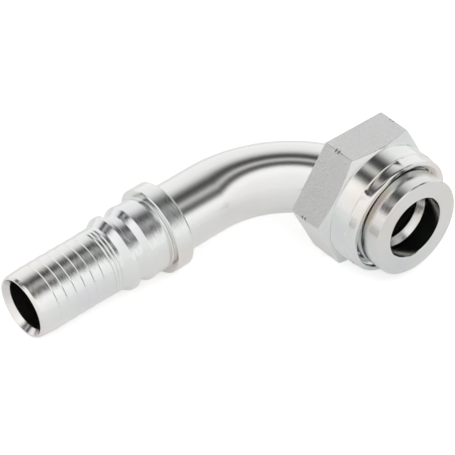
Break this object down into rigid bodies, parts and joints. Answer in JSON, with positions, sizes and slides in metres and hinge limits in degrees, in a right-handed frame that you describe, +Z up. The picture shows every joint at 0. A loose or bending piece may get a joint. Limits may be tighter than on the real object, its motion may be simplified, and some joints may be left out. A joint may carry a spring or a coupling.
{
  "type": "hose crimp fitting",
  "caption": "Right-angle hydraulic hose fitting: barbed and ringed hose stem, bent tube, flat-faced nose sleeve and a loose hexagon swivel nut.",
  "frame": {"origin": "centre of the flat sealing face on the nose, on the nose's axis", "axes": "-Y out of the nose along its axis, +Z up from the surface that the fitting lies on, and the hose stem runs to -X and droops to that surface"},
  "size_m": [0.1121, 0.0579, 0.0355],
  "materials": {
    "turned_steel": "turned, bright zinc plated",
    "tube_steel": "drawn tube, bright zinc plated",
    "nose_steel": "turned, satin sealing face, bright zinc plated",
    "nut_steel": "satin flats with a turned front, bright zinc plated"
  },
  "bodies": {
    "elbow": {"hose_stem": "turned_steel", "elbow_tube": "tube_steel", "nose_sleeve": "nose_steel"},
    "nut": {"swivel_nut": "nut_steel"}
  },
  "joints": [
    {"name": "nut_swivel", "type": "hinge", "parent": "elbow", "child": "nut", "pos_m": [-0.00037, 0.01517, 0.00053], "axis": [0.0453, -0.9969, -0.0645], "continuous": true}
  ]
}
